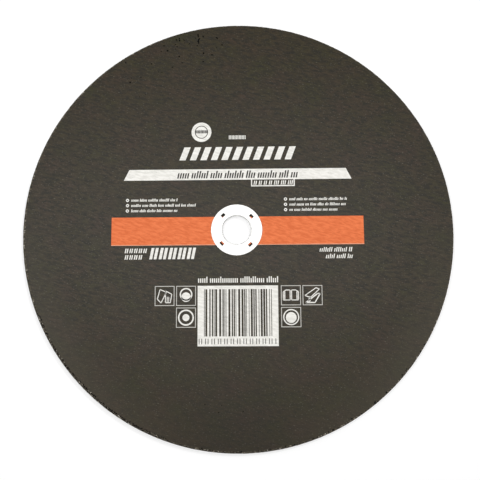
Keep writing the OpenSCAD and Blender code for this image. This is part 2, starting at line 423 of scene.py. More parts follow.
def glass_strand():
    """Resin-soaked glass yarn, dull brown, with its threads along the strand."""
    material, tree, shader = fresh_material("glass_strand")
    mottle = noise(tree, lying(tree, YARN_MOTTLE, YARN_MOTTLE, 0), 3.0, 0.6)
    threads = noise(tree, lying(tree, YARN_THREAD, YARN_THREAD, 0), 2.0, 0.6)
    final = tint(tree, span(tree, mottle, 0.3, 0.7), YARN_DARK, YARN_PALE)
    tree.links.new(final, shader.inputs["Base Color"])
    tree.links.new(span(tree, threads, 0.3, 0.7, 0.4, 0.7), shader.inputs["Roughness"])
    bump(tree, shader, threads, 0.4, 0.06 * MM)
    return material


def shaded_stone(name, darkest, dark, pale, palest):
    """Broken grit: each grain has one of four shades."""
    material, tree, shader = fresh_material(name)
    shade = tree.nodes.new("ShaderNodeAttribute")
    shade.attribute_name = "grain_shade"
    value = shade.outputs["Fac"]
    low = tint(tree, span(tree, value, 0.34, 0.4), darkest, dark)
    high = tint(tree, span(tree, value, 0.68, 0.74), low, pale)
    full = tint(tree, span(tree, value, 0.88, 0.92), high, palest)
    speck = noise(tree, lying(tree, SPECK_SIZE, SPECK_SIZE, 0), 2.0, 0.6)
    final = tint(tree, span(tree, speck, 0.35, 0.75, 0, 0.4), full, darkest)
    tree.links.new(final, shader.inputs["Base Color"])
    tree.links.new(span(tree, speck, 0.3, 0.7, 0.35, 0.8), shader.inputs["Roughness"])
    shader.inputs["Specular IOR Level"].default_value = 0.05
    bump(tree, shader, speck, 0.4, 0.05 * MM)
    return material


STONE_SHADES = (linear(12, 11, 10), linear(66, 61, 52), linear(128, 121, 108), linear(205, 199, 187))
PIT_SHADES = (linear(8, 8, 7), linear(14, 13, 11), linear(20, 18, 16), linear(28, 26, 22))

PAPER = creped_paper()
ORANGE_INK = ink("orange_ink", *ORANGE)
WHITE_INK = ink("white_ink", *WHITE)
WHITE_FIELDS = ink("white_fields", *WHITE, FAINT_FRAMES)
BLACK_INK = ink("black_ink", *BLACK)
PALE_ORANGE = ink("pale_orange", *PALE_UNDER)
TINPLATE = tinplate()
GRIT = resin_grit()
STRAND = glass_strand()
STONE = shaded_stone("broken_grit", *STONE_SHADES)
PIT = shaded_stone("pit", *PIT_SHADES)


# Small tools for meshes and geometry trees

SHARP_ANGLE = math.radians(50)


def piece_from(name, mesh, material, replaces=None):
    """Puts a finished mesh in the scene as a piece of the wheel."""
    piece = bpy.data.objects.new(name, mesh)
    scene.collection.objects.link(piece)
    mesh.materials.clear()
    mesh.materials.append(material)
    mesh.set_sharp_from_angle(angle=SHARP_ANGLE)
    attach(piece, "root")
    if replaces:
        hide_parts(replaces)


def revolved(name, rings, segments):
    """A closed skin through rings, each a function of the angle that gives a point."""
    points = []
    for point_at in rings:
        for i in range(segments):
            points.append(point_at(FULL_TURN * i / segments))
    faces = []
    for k in range(len(rings)):
        first = k * segments
        second = (k + 1) % len(rings) * segments
        for i in range(segments):
            j = (i + 1) % segments
            faces.append((first + i, first + j, second + j, second + i))
    mesh = bpy.data.meshes.new(name)
    mesh.from_pydata(points, [], faces)
    made = bmesh.new()
    made.from_mesh(mesh)
    bmesh.ops.recalc_face_normals(made, faces=made.faces)
    made.to_mesh(mesh)
    made.free()
    mesh.shade_smooth()
    return mesh


def circle_ring(radius, height):
    """A ring round the wheel's axis."""
    return lambda angle: (radius * math.cos(angle), radius * math.sin(angle), height)


def geometry_tree(name, inputs):
    """An empty geometry tree that takes a mesh and named numbers."""
    tree = bpy.data.node_groups.new(name, "GeometryNodeTree")
    tree.interface.new_socket("Geometry", in_out="INPUT", socket_type="NodeSocketGeometry")
    for label in inputs:
        tree.interface.new_socket(label, in_out="INPUT", socket_type="NodeSocketFloat")
    tree.interface.new_socket("Geometry", in_out="OUTPUT", socket_type="NodeSocketGeometry")
    return tree, tree.nodes.new("NodeGroupInput"), tree.nodes.new("NodeGroupOutput")


def finish_tree(tree, out, shape, material):
    """Ends a geometry tree: one real mesh with its material."""
    real = tree.nodes.new("GeometryNodeRealizeInstances")
    tree.links.new(shape, real.inputs["Geometry"])
    coated = tree.nodes.new("GeometryNodeSetMaterial")
    coated.inputs["Material"].default_value = material
    tree.links.new(real.outputs["Geometry"], coated.inputs["Geometry"])
    tree.links.new(coated.outputs["Geometry"], out.inputs["Geometry"])


def run_tree(tree, values, mesh, name):
    """The plain mesh that a geometry tree makes from a mesh and its named numbers."""
    carrier = bpy.data.objects.new("carrier", mesh)
    scene.collection.objects.link(carrier)
    modifier = carrier.modifiers.new("nodes", "NODES")
    modifier.node_group = tree
    for item in tree.interface.items_tree:
        if item.in_out == "INPUT" and item.name in values:
            modifier[item.identifier] = values[item.name]
    bpy.context.view_layer.update()
    graph = bpy.context.evaluated_depsgraph_get()
    made = bpy.data.meshes.new_from_object(carrier.evaluated_get(graph))
    made.name = name
    bpy.data.objects.remove(carrier)
    return made


def moved(tree, shape, offset):
    """A shape with its points moved."""
    move = tree.nodes.new("GeometryNodeSetPosition")
    tree.links.new(shape, move.inputs["Geometry"])
    tree.links.new(offset, move.inputs["Offset"])
    return move.outputs["Geometry"]


def vector_of(tree, x=0.0, y=0.0, z=0.0):
    """A vector from sockets or numbers."""
    node = tree.nodes.new("ShaderNodeCombineXYZ")
    for socket, value in zip(node.inputs, (x, y, z)):
        feed(tree, socket, value)
    return node.outputs["Vector"]


def mesh_of(name, made):
    """A mesh from a finished bmesh."""
    mesh = bpy.data.meshes.new(name)
    made.to_mesh(mesh)
    made.free()
    return mesh


def tear_boxes():
    """The four boxes that cut the claws' tears, as one mesh."""
    size = Matrix.Diagonal((TEAR_OUT - TEAR_IN, TEAR_W, WHEEL_TOP, 1))
    middle = Matrix.Translation(((TEAR_OUT + TEAR_IN) / 2, 0, TEAR_FOOT + WHEEL_TOP / 2))
    made = bmesh.new()
    for k in range(CLAW_COUNT):
        turn = Matrix.Rotation(CLAW_START + FULL_TURN * k / CLAW_COUNT, 4, "Z")
        bmesh.ops.create_cube(made, size=1, matrix=turn @ middle @ size)
    return mesh_of("tear_boxes", made)


def with_tears(mesh):
    """The mesh with the claws' four tears cut out of it."""
    cutter = bpy.data.objects.new("cutter", tear_boxes())
    scene.collection.objects.link(cutter)
    carrier = bpy.data.objects.new("carrier", mesh)
    scene.collection.objects.link(carrier)
    cut = carrier.modifiers.new("tears", "BOOLEAN")
    cut.operation = "DIFFERENCE"
    cut.solver = "EXACT"
    cut.object = cutter
    bpy.context.view_layer.update()
    graph = bpy.context.evaluated_depsgraph_get()
    made = bpy.data.meshes.new_from_object(carrier.evaluated_get(graph))
    bpy.data.objects.remove(carrier)
    bpy.data.objects.remove(cutter)
    return made


# Creped paper, stepped down under the flange

PAPER_RINGS = 112
PAPER_SEGMENTS = 720
EDGE_GAP = 0.05 * MM

# The paper's edge is cut a little unevenly all round and is ragged at the lower left
RAGGED_SIDE = math.radians(228)
RAG_FINE = 1.6 * MM
RAG_COARSE = 5 * MM
RAG_LIFT = 0.25
UNEVEN_CUT = 0.12 * MM
RAGGED_CUT = 0.75 * MM


def paper_edge(angle):
    """Where the paper ends: its circle lies off centre, and its edge is ragged on one side."""
    ray = Vector((math.cos(angle), math.sin(angle), 0))
    along = PAPER_CENTRE.dot(ray)
    reach = along + math.sqrt(PAPER_R ** 2 - PAPER_CENTRE.length_squared + along ** 2)
    ragged = max(0.0, math.cos(angle - RAGGED_SIDE)) ** 3
    spot = ray * WHEEL_R
    rag = max(0.0, turbulence.noise(spot / RAG_FINE) + turbulence.noise(spot / RAG_COARSE) + RAG_LIFT)
    return reach - EDGE_GAP - (UNEVEN_CUT + RAGGED_CUT * ragged) * rag


def paper_ring(share, height):
    """A ring between the flange's seat and the paper's edge."""
    def point(angle):
        radius = SEAT_WALL_R + (paper_edge(angle) - SEAT_WALL_R) * share
        return (radius * math.cos(angle), radius * math.sin(angle), height)
    return point


def paper_blank():
    """The flat paper before it is creased: a closed sheet with a step at the flange."""
    face = WHEEL_TOP - INK_STAND
    under = SEAT_TOP - INK_STAND
    rings = [circle_ring(THROAT_R, under - PAPER_T), circle_ring(THROAT_R, under)]
    rings.append(circle_ring(SEAT_WALL_R, under))
    rings += [paper_ring(k / PAPER_RINGS, face) for k in range(PAPER_RINGS + 1)]
    rings.append(paper_ring(1, face - PAPER_T))
    rings.append(circle_ring(SEAT_WALL_R + PAPER_T, face - PAPER_T))
    rings.append(circle_ring(SEAT_WALL_R + PAPER_T, under - PAPER_T))
    return with_tears(revolved("paper_blank", rings, PAPER_SEGMENTS))


def crease_tree():
    """Presses short leaning creases into a sheet, down from where it lies."""
    tree, given, out = geometry_tree("crease_sheet", ["Depth", "Length", "Width", "Lean"])
    place = tree.nodes.new("GeometryNodeInputPosition")
    turn = tree.nodes.new("ShaderNodeVectorRotate")
    turn.rotation_type = "Z_AXIS"
    tree.links.new(place.outputs["Position"], turn.inputs["Vector"])
    tree.links.new(times(tree, given.outputs["Lean"], -1), turn.inputs["Angle"])
    width = given.outputs["Width"]
    unit = vector_of(tree, given.outputs["Length"], width, width)
    crease = noise(tree, vector_math(tree, "DIVIDE", turn.outputs["Vector"], unit), 2.0, 0.5, 0.4)
    press = times(tree, span(tree, crease, 0.25, 0.75, -1, 0), given.outputs["Depth"])
    pressed = moved(tree, given.outputs["Geometry"], vector_of(tree, z=press))
    finish_tree(tree, out, pressed, PAPER)
    return tree


PRESSING = {"Depth": CREASE_DEPTH, "Length": CREASE_LENGTH, "Width": CREASE_WIDTH, "Lean": CREASE_LEAN}
creped_face = run_tree(crease_tree(), PRESSING, paper_blank(), "creped_face")
piece_from("creped_face", creped_face, PAPER, "paper_face")


# Abrasive disc with its rough rim and back

DISC_SEGMENTS = 1200
BACK_RINGS = 36
RIM_RINGS = 6
RIM_STAND = 0.05 * MM
RIM_ROUND = 0.2 * MM
BACK_Z = 0.2 * MM
BARE_EDGE_DROP = 0.08 * MM
EDGE_UNDER_PAPER = 0.4 * MM
HIDDEN_RIM = 3 * MM
STEP_HIGH = 0.5 * MM
STEP_LOW = 0.4 * MM
ROUGHNESS = {"Depth": 0.13 * MM, "Grain": 1.1 * MM}


def disc_blank():
    """The abrasive body before it is roughened: back, rim, bare edge and the hidden seat."""
    rim = WHEEL_R - RIM_STAND
    shoulder = rim - RIM_ROUND
    edge_top = WHEEL_TOP - BARE_EDGE_DROP
    low = BACK_Z + RIM_ROUND
    high = edge_top - RIM_ROUND
    rings = []
    for k in range(BACK_RINGS + 1):
        rings.append(circle_ring(COLLAR_ROOM_R + (shoulder - COLLAR_ROOM_R) * k / BACK_RINGS, BACK_Z))
    for degrees in (45, 90):
        bend = math.radians(degrees)
        rise = RIM_ROUND * (1 - math.cos(bend))
        rings.append(circle_ring(shoulder + RIM_ROUND * math.sin(bend), BACK_Z + rise))
    rings += [circle_ring(rim, low + (high - low) * k / RIM_RINGS) for k in range(1, RIM_RINGS)]
    for degrees in (0, 45, 90):
        bend = math.radians(degrees)
        rings.append(circle_ring(shoulder + RIM_ROUND * math.cos(bend), high + RIM_ROUND * math.sin(bend)))

    def bare_edge(share):
        def point(angle):
            inner = paper_edge(angle) - EDGE_UNDER_PAPER
            radius = shoulder + (inner - rim + RIM_ROUND) * share
            return (radius * math.cos(angle), radius * math.sin(angle), edge_top)
        return point

    rings += [bare_edge(0.35), bare_edge(0.7), bare_edge(1)]
    under_paper = WHEEL_TOP - INK_STAND - PAPER_T - CREASE_DEPTH
    under_flange = SEAT_TOP - PAPER_T - INK_STAND - CREASE_DEPTH
    rings.append(circle_ring(PAPER_R - HIDDEN_RIM, under_paper))
    rings.append(circle_ring(FLANGE_R + STEP_HIGH, under_paper))
    rings.append(circle_ring(FLANGE_R + STEP_LOW, under_flange))
    rings.append(circle_ring(COLLAR_ROOM_R, under_flange))
    return with_tears(revolved("disc_blank", rings, DISC_SEGMENTS))


def roughen_tree():
    """Moves a skin along its normals by noise, as broken grit leaves it."""
    tree, given, out = geometry_tree("roughen_skin", ["Depth", "Grain"])
    place = tree.nodes.new("GeometryNodeInputPosition")
    normal = tree.nodes.new("GeometryNodeInputNormal")
    size = given.outputs["Grain"]
    unit = vector_of(tree, size, size, size)
    grain = noise(tree, vector_math(tree, "DIVIDE", place.outputs["Position"], unit), 2.0, 0.6)
    amount = times(tree, span(tree, grain, 0.3, 0.7, -1, 0.25), given.outputs["Depth"])
    scale = tree.nodes.new("ShaderNodeVectorMath")
    scale.operation = "SCALE"
    tree.links.new(normal.outputs["Normal"], scale.inputs["Vector"])
    tree.links.new(amount, scale.inputs["Scale"])
    roughened = moved(tree, given.outputs["Geometry"], scale.outputs["Vector"])
    finish_tree(tree, out, roughened, GRIT)
    return tree


rough_disc = run_tree(roughen_tree(), ROUGHNESS, disc_blank(), "rough_disc")
piece_from("rough_disc", rough_disc, GRIT, "abrasive_disc")


# Loose grains on the rim and the bare edge, and pits in the face


def random_value(tree, low, high, seed):
    """A random number for each grain, between two sockets or numbers."""
    node = tree.nodes.new("FunctionNodeRandomValue")
    feed(tree, node.inputs[2], low)
    feed(tree, node.inputs[3], high)
    feed(tree, node.inputs["Seed"], seed)
    return node.outputs[1]


def grain_tree(name, material):
    """Strews rough stones over a bed: so many to the area, each with its own size, turn and shade."""
    tree, given, out = geometry_tree(name, ["Per Area", "Least", "Most", "Long", "Flat", "Seed"])
    seed = given.outputs["Seed"]
    strew = tree.nodes.new("GeometryNodeDistributePointsOnFaces")
    tree.links.new(given.outputs["Geometry"], strew.inputs["Mesh"])
    tree.links.new(given.outputs["Per Area"], strew.inputs["Density"])
    tree.links.new(seed, strew.inputs["Seed"])
    stone = tree.nodes.new("GeometryNodeMeshIcoSphere")
    stone.inputs["Radius"].default_value = 1
    stone.inputs["Subdivisions"].default_value = 1
    size = random_value(tree, given.outputs["Least"], given.outputs["Most"], seed)
    stretch = random_value(tree, 1, given.outputs["Long"], plus(tree, seed, 1))
    turn = random_value(tree, 0, FULL_TURN, plus(tree, seed, 2))
    shade = random_value(tree, 0, 1, plus(tree, seed, 3))
    narrow = combine(tree, "DIVIDE", size, stretch)
    thin = times(tree, size, given.outputs["Flat"])
    place = tree.nodes.new("GeometryNodeInstanceOnPoints")
    tree.links.new(strew.outputs["Points"], place.inputs["Points"])
    tree.links.new(stone.outputs["Mesh"], place.inputs["Instance"])
    tree.links.new(vector_of(tree, z=turn), place.inputs["Rotation"])
    tree.links.new(vector_of(tree, size, narrow, thin), place.inputs["Scale"])
    keep = tree.nodes.new("GeometryNodeStoreNamedAttribute")
    keep.data_type = "FLOAT"
    keep.domain = "INSTANCE"
    keep.inputs["Name"].default_value = "grain_shade"
    tree.links.new(place.outputs["Instances"], keep.inputs["Geometry"])
    tree.links.new(shade, keep.inputs["Value"])
    finish_tree(tree, out, keep.outputs["Geometry"], material)
    return tree


def band_bed(name, lower, upper, first, last, steps):
    """An open strip between two rings, over a span of angles: only a bed to strew on."""
    points = []
    for k in range(steps + 1):
        angle = first + (last - first) * k / steps
        points += [lower(angle), upper(angle)]
    faces = [(2 * k, 2 * k + 2, 2 * k + 3, 2 * k + 1) for k in range(steps)]
    mesh = bpy.data.meshes.new(name)
    mesh.from_pydata(points, [], faces)
    return mesh


WALL_GRAIN = 0.32 * MM
WALL_STEPS = 720
WALL_LOW = 0.45 * MM
WALL_HIGH = WHEEL_TOP - 0.4 * MM
WALL_SHAPE = {"Least": 0.24 * MM, "Most": WALL_GRAIN, "Long": 1.8, "Flat": 0.8}

EDGE_GRAIN = 0.55 * MM
EDGE_STEPS = 1440
EDGE_OVERLAP = 0.1 * MM
EDGE_Z = WHEEL_TOP - 0.17 * MM
EDGE_SHAPE = {"Least": 0.25 * MM, "Most": EDGE_GRAIN, "Long": 1.6, "Flat": 0.3}

PIT_Z = WHEEL_TOP - 0.016 * MM
PIT_STEPS = 60
PIT_SHAPE = {"Least": 0.35 * MM, "Most": 0.85 * MM, "Long": 2.2, "Flat": 0.014}


def edge_inner(angle):
    """The bare edge's inner border, just under the paper."""
    radius = paper_edge(angle) - EDGE_OVERLAP
    return (radius * math.cos(angle), radius * math.sin(angle), EDGE_Z)


def strewn(name, strewer, bed, shape, per_mm2, seed):
    """The grains that a strewer leaves on a bed."""
    return run_tree(strewer, {**shape, "Per Area": per_mm2 / MM ** 2, "Seed": seed}, bed, name)


def pits(name, inner, outer, first, last, per_mm2, seed):
    """Pits or chips strewn between two radii in millimetres and two angles in degrees."""
    lower = circle_ring(inner * MM, PIT_Z)
    upper = circle_ring(outer * MM, PIT_Z)
    bed = band_bed(name + "_bed", lower, upper, math.radians(first), math.radians(last), PIT_STEPS)
    piece_from(name, strewn(name, pit_strewer, bed, PIT_SHAPE, per_mm2, seed), PIT)


grain_strewer = grain_tree("strew_grains", STONE)
wall_foot = circle_ring(WHEEL_R - WALL_GRAIN, WALL_LOW)
wall_head = circle_ring(WHEEL_R - WALL_GRAIN, WALL_HIGH)
wall_bed = band_bed("wall_bed", wall_foot, wall_head, 0, FULL_TURN, WALL_STEPS)
wall_grains = strewn("wall_grains", grain_strewer, wall_bed, WALL_SHAPE, per_mm2=3.2, seed=4)
piece_from("wall_grains", wall_grains, STONE)
edge_outer = circle_ring(WHEEL_R - EDGE_GRAIN, EDGE_Z)
edge_bed = band_bed("edge_bed", edge_inner, edge_outer, 0, FULL_TURN, EDGE_STEPS)
edge_grains = strewn("edge_grains", grain_strewer, edge_bed, EDGE_SHAPE, per_mm2=1.7, seed=8)
piece_from("edge_grains", edge_grains, STONE)

pit_strewer = grain_tree("strew_pits", PIT)
pits("pits_top_left", inner=118, outer=147, first=94, last=126, per_mm2=0.014, seed=17)
pits("pits_by_the_rim", inner=139, outer=148, first=95, last=112, per_mm2=0.06, seed=19)
pits("pits_below", inner=118, outer=147, first=255, last=286, per_mm2=0.002, seed=23)
pits("chips_left_edge", inner=148.0, outer=149.1, first=203, last=251, per_mm2=0.85, seed=29)
pits("chips_low_edge", inner=148.3, outer=149.1, first=251, last=330, per_mm2=0.12, seed=31)


# Glass mesh on the back: two sets of strands that cross over and under

WEAVE_PITCH = 5.5 * MM
WEAVE_Z = 0.1 * MM
STRAND_W = 1.7 * MM
STRAND_H = 0.1 * MM
STRAND_RISE = 0.04 * MM
STRAND_SIDES = 6
RUNS_TO = WHEEL_R - 0.8 * MM
RUNS_FROM = COLLAR_ROOM_R + 0.6 * MM
SHORT_RUN = 2 * MM


def strand_lines(name, across):
    """Straight strand runs, cut at the rim and round the bore."""
    count = int(RUNS_TO // WEAVE_PITCH)
    points = []
    edges = []
    for k in range(-count, count + 1):
        offset = (k + 0.5) * WEAVE_PITCH if across else k * WEAVE_PITCH
        if abs(offset) > RUNS_TO - SHORT_RUN:
            continue
        half = math.sqrt(RUNS_TO ** 2 - offset ** 2)
        runs = [(-half, half)]
        if abs(offset) < RUNS_FROM + STRAND_W / 2:
            gap = math.sqrt(max(RUNS_FROM ** 2 - max(0, abs(offset) - STRAND_W / 2) ** 2, 0))
            runs = [(-half, -gap), (gap, half)] if gap > 0 else runs
        for start, end in runs:
            edges.append((len(points), len(points) + 1))
            for along in (start, end):
                points.append((offset, along, 0) if across else (along, offset, 0))
    mesh = bpy.data.meshes.new(name)
    mesh.from_pydata(points, edges, [])
    return mesh


def strand_tree():
    """Gives straight runs a flat yarn section and the rise and fall of a weave."""
    tree, given, out = geometry_tree("weave_strands", ["Pitch", "Width", "Height", "Rise", "Level", "Side"])
    pitch = given.outputs["Pitch"]
    curve = tree.nodes.new("GeometryNodeMeshToCurve")
    tree.links.new(given.outputs["Geometry"], curve.inputs["Mesh"])
    even = tree.nodes.new("GeometryNodeResampleCurve")
    even.mode = "LENGTH"
    tree.links.new(curve.outputs["Curve"], even.inputs["Curve"])
    tree.links.new(combine(tree, "DIVIDE", pitch, 4), even.inputs["Length"])
    place = tree.nodes.new("GeometryNodeInputPosition")
    parts = tree.nodes.new("ShaderNodeSeparateXYZ")
    tree.links.new(place.outputs["Position"], parts.inputs["Vector"])
    waves = []
    for axis in "XY":
        phase = combine(tree, "DIVIDE", parts.outputs[axis], pitch)
        waves.append(combine(tree, "SINE", times(tree, phase, math.pi)))
    wave = plus(tree, waves[0], waves[1])
    rise = times(tree, times(tree, wave, given.outputs["Rise"]), given.outputs["Side"])
    height = plus(tree, times(tree, rise, 0.5), given.outputs["Level"])
    woven = moved(tree, even.outputs["Curve"], vector_of(tree, z=height))
    upright = tree.nodes.new("GeometryNodeSetCurveNormal")
    upright.mode = "Z_UP"
    tree.links.new(woven, upright.inputs["Curve"])
    round_section = tree.nodes.new("GeometryNodeCurvePrimitiveCircle")
    round_section.inputs["Resolution"].default_value = STRAND_SIDES
    round_section.inputs["Radius"].default_value = 0.5
    section = tree.nodes.new("GeometryNodeTransform")
    tree.links.new(round_section.outputs["Curve"], section.inputs["Geometry"])
    flat = vector_of(tree, given.outputs["Width"], given.outputs["Height"])
    tree.links.new(flat, section.inputs["Scale"])
    yarn = tree.nodes.new("GeometryNodeCurveToMesh")
    yarn.inputs["Fill Caps"].default_value = True
    tree.links.new(upright.outputs["Curve"], yarn.inputs["Curve"])
    tree.links.new(section.outputs["Geometry"], yarn.inputs["Profile Curve"])
    finish_tree(tree, out, yarn.outputs["Mesh"], STRAND)
    return tree


weaver = strand_tree()
for name, across, side in (("weave_lengthways", False, 1.0), ("weave_crossways", True, -1.0)):
    weave = {"Pitch": WEAVE_PITCH, "Width": STRAND_W, "Height": STRAND_H, "Rise": STRAND_RISE}
    weave.update({"Level": WEAVE_Z, "Side": side})
    strands = run_tree(weaver, weave, strand_lines(name + "_runs", across), name)
    piece_from(name, strands, STRAND)


# Flat marks: closed slabs with outlines in millimetres


def slab(made, outline, foot, top):
    """Adds one closed slab with the given outline to a bmesh."""
    low = [made.verts.new((x * MM, y * MM, foot)) for x, y in outline]
    high = [made.verts.new((x * MM, y * MM, top)) for x, y in outline]
    made.faces.new(high)
    made.faces.new(reversed(low))
    for i in range(len(outline)):
        j = (i + 1) % len(outline)
        made.faces.new((low[i], low[j], high[j], high[i]))


def marks_piece(name, outlines, foot, top, material):
    """One piece of many slabs."""
    made = bmesh.new()
    for outline in outlines:
        slab(made, outline, foot, top)
    bmesh.ops.recalc_face_normals(made, faces=made.faces)
    piece_from(name, mesh_of(name, made), material)


def dot(x, y, radius, sides=20):
    """A round outline."""
    turn = FULL_TURN / sides
    outline = []
    for k in range(sides):
        outline.append((PRINT_X + x + radius * math.cos(k * turn), y + radius * math.sin(k * turn)))
    return outline


def line(x0, y0, x1, y1, width):
    """A straight stroke between two points."""
    along = Vector((x1 - x0, y1 - y0)).normalized() * width / 2
    side = Vector((-along.y, along.x))
    ends = (Vector((x0, y0)), Vector((x1, y1)))
    corners = (ends[0] - side, ends[1] - side, ends[1] + side, ends[0] + side)
    return [(PRINT_X + corner.x, corner.y) for corner in corners]


def round_line(x, y, radius, width, pieces=24):
    """A ring, as short strokes end to end."""
    turn = FULL_TURN / pieces
    made = []
    for k in range(pieces):
        corners = []
        for step, reach in ((k, radius), (k + 1, radius), (k + 1, radius - width), (k, radius - width)):
            corners.append((PRINT_X + x + reach * math.cos(step * turn), y + reach * math.sin(step * turn)))
        made.append(corners)
    return made


# Strokes in place of lines of print

PRINT_LEAN = 0.2
MIXED = (1.0, 0.72, 0.72, 0.72)
UNEVEN = (1.0, 0.75)
EVEN = (1.0,)


def stroke_row(left, right, foot, seed, tall, width, gap, lean=0.0, word=(2, 2), heights=EVEN, space=1.2):
    """Strokes in word-like groups between two ends: a plain stand-in for a line of print."""
    draw = random.Random(seed)
    outlines = []
    x = left
    while x + width <= right:
        for _ in range(draw.randint(*word)):
            if x + width > right:
                break
            height = tall * draw.choice(heights)
            slide = lean * height
            shape = ((0, 0), (width, 0), (width + slide, height), (slide, height))
            outlines.append([(PRINT_X + x + a, foot + b) for a, b in shape])
            x += width + gap
        x += (width + gap) * space - gap
    return outlines


# Sizes of the strokes in each kind of row
SMALL_PRINT = {"tall": 2.0, "width": 0.56, "gap": 0.32, "lean": 0.15, "word": (3, 8), "heights": MIXED}
CODE = {"tall": 3.1, "width": 0.8, "gap": 0.55, "lean": PRINT_LEAN, "space": 0.8}
GRADE = {"tall": 7.9, "width": 2.0, "gap": 1.0, "lean": PRINT_LEAN, "space": 0.5}
SPEED = {"tall": 3.1, "width": 0.7, "gap": 0.6, "lean": PRINT_LEAN, "heights": UNEVEN}
ADDRESS = {"tall": 4.1, "width": 0.8, "gap": 0.62, "word": (4, 14), "heights": MIXED}
SIZE_TAB = {"tall": 3.0, "width": 0.7, "gap": 0.6, "lean": PRINT_LEAN, "word": (2, 4)}
ITEM = {"tall": 2.8, "width": 0.62, "gap": 0.4, "space": 0.4}
TITLE = {"tall": 5.3, "width": 1.0, "gap": 0.72, "lean": PRINT_LEAN, "word": (4, 8), "heights": MIXED}
PANEL_FOOT = {"tall": 3.7, "width": 0.5, "gap": 1.25}
ROUND_MARK = {"tall": 2.3, "width": 0.75, "gap": 0.25, "word": (10, 10)}

# Small print: three lines on each side of the wheel, each behind a ringed dot
LINE_TOP = 21.4
LINE_PITCH = 3.75
LINE_DROP = 0.95
LEFT_START = -77.4
LEFT_ENDS = (-41.8, -28.6, -42.2)
RIGHT_START = 33.6
RIGHT_ENDS = (77.2, 75.7, 70.5)
DOT_SHIFT = 0.1
DOT_R = 1.15
DOT_HOLE_R = 0.45
TEXT_SHIFT = 2.7

white_marks = []
dark_marks = []
for row in range(len(LEFT_ENDS)):
    line_y = LINE_TOP - row * LINE_PITCH
    for start, end in ((LEFT_START, LEFT_ENDS[row]), (RIGHT_START, RIGHT_ENDS[row])):
        white_marks.append(dot(start + DOT_SHIFT, line_y, DOT_R))
        dark_marks.append(dot(start + DOT_SHIFT, line_y, DOT_HOLE_R))
        text_start = start + TEXT_SHIFT
        white_marks += stroke_row(text_start, end, line_y - LINE_DROP, row + int(end), **SMALL_PRINT)
white_marks += stroke_row(left=-78.7, right=-62.6, foot=-15.8, seed=5, **CODE)
white_marks += stroke_row(left=-78.7, right=-65.4, foot=-20.3, seed=6, **CODE)
white_marks += stroke_row(left=-61.4, right=-29.8, foot=-20.2, seed=9, **GRADE)
white_marks += stroke_row(left=56.6, right=79.6, foot=-15.7, seed=11, word=(4, 7), **SPEED)
white_marks += stroke_row(left=60.8, right=79.6, foot=-20.3, seed=12, word=(4, 6), **SPEED)
white_marks += stroke_row(left=-27.4, right=28.6, foot=-36.6, seed=14, **ADDRESS)
white_marks += stroke_row(left=11.4, right=38.8, foot=31.7, seed=15, **SIZE_TAB)
white_marks += stroke_row(left=-5.8, right=6.5, foot=64.8, seed=27, **ITEM)
dark_marks += stroke_row(left=-42.4, right=42.6, foot=36.7, seed=21, **TITLE)
dark_marks += stroke_row(left=-26.8, right=27.0, foot=-78.3, seed=23, **PANEL_FOOT)
dark_marks += stroke_row(left=-29.9, right=-20.6, foot=69.3, seed=25, **ROUND_MARK)


# Plain signs inside the tiles

SIGN_LINE = 0.6
TILE_LEFT_OUT = -50.45
TILE_LEFT_IN = -35.65
TILE_RIGHT_IN = 36.35
TILE_RIGHT_OUT = 51.15
TILE_UPPER = -45.5
TILE_LOWER = -60.3


def loop(points, x, y, width=SIGN_LINE):
    """A closed row of straight strokes about a tile's centre."""
    placed = [(x + a, y + b) for a, b in points]
    return [line(*placed[i], *placed[(i + 1) % len(placed)], width) for i in range(len(placed))]


def folded_cloth_sign(x, y):
    """Two folded cloths side by side, one with two stripes."""
    made = loop(((-5, -2.2), (-2.4, -4.8), (1.2, 2.6), (-3.2, 4.4)), x, y)
    made += loop(((0.6, -4.6), (4, -4.6), (4.9, 1.2), (0.6, 3.4)), x, y)
    made += [line(x + stripe, y - 4.2, x + stripe, y - 0.6, 0.5) for stripe in (1.8, 2.9)]
    return made


def cap_sign(x, y):
    """A dot low in a ring."""
    return [dot(x, y - 0.9, 3.3)] + round_line(x, y + 1.0, 4.4, 0.9)


def wheel_sign(x, y):
    """A ring with a small dot."""
    return round_line(x, y, 5.5, 1.0) + [dot(x, y, 2.4)]


def disc_sign(x, y):
    """A thin ring filled by a large dot."""
    return round_line(x, y, 5.5, 0.8) + [dot(x, y - 0.3, 3.7)]


def open_book_sign(x, y):
    """Two pages with a line down each."""
    made = []
    for side in (-1, 1):
        page = ((0.5, -3.2), (5.2, -3.2), (5.2, 2.4), (3.4, 3.6), (0.5, 3.6))
        made += loop([(side * a, b) for a, b in page], x, y)
        made.append(line(x + side * 4.2, y - 3, x + side * 4.2, y + 2.6, 0.7))
    return made


def steel_bar_sign(x, y):
    """A slanted bar with a foot."""
    made = loop(((-5.2, -0.2), (2.4, 5), (4.8, 4.2), (-1.4, -1.6)), x, y)
    made.append(line(x - 2.4, y - 4.8, x - 1.6, y - 0.8, 1.5))
    made += loop(((-4.6, -5), (1.6, -5), (5.2, 1.0), (3.6, 1.2)), x, y, 0.8)
    return made


sign_marks = folded_cloth_sign(TILE_LEFT_OUT, TILE_UPPER)
sign_marks += cap_sign(TILE_LEFT_IN, TILE_UPPER)
sign_marks += wheel_sign(TILE_LEFT_IN, TILE_LOWER)
sign_marks += disc_sign(TILE_RIGHT_IN, TILE_LOWER)
sign_marks += open_book_sign(TILE_RIGHT_IN, TILE_UPPER)
sign_marks += steel_bar_sign(TILE_RIGHT_OUT, TILE_UPPER)

marks_piece("white_strokes", white_marks, STROKE_FOOT, STROKE_TOP, WHITE_INK)
marks_piece("tile_signs", sign_marks, STROKE_FOOT, STROKE_TOP, WHITE_INK)
marks_piece("black_strokes", dark_marks, FILM_FOOT, FILM_TOP, BLACK_INK)


# Two dark scrapes in the paper near the upper rim

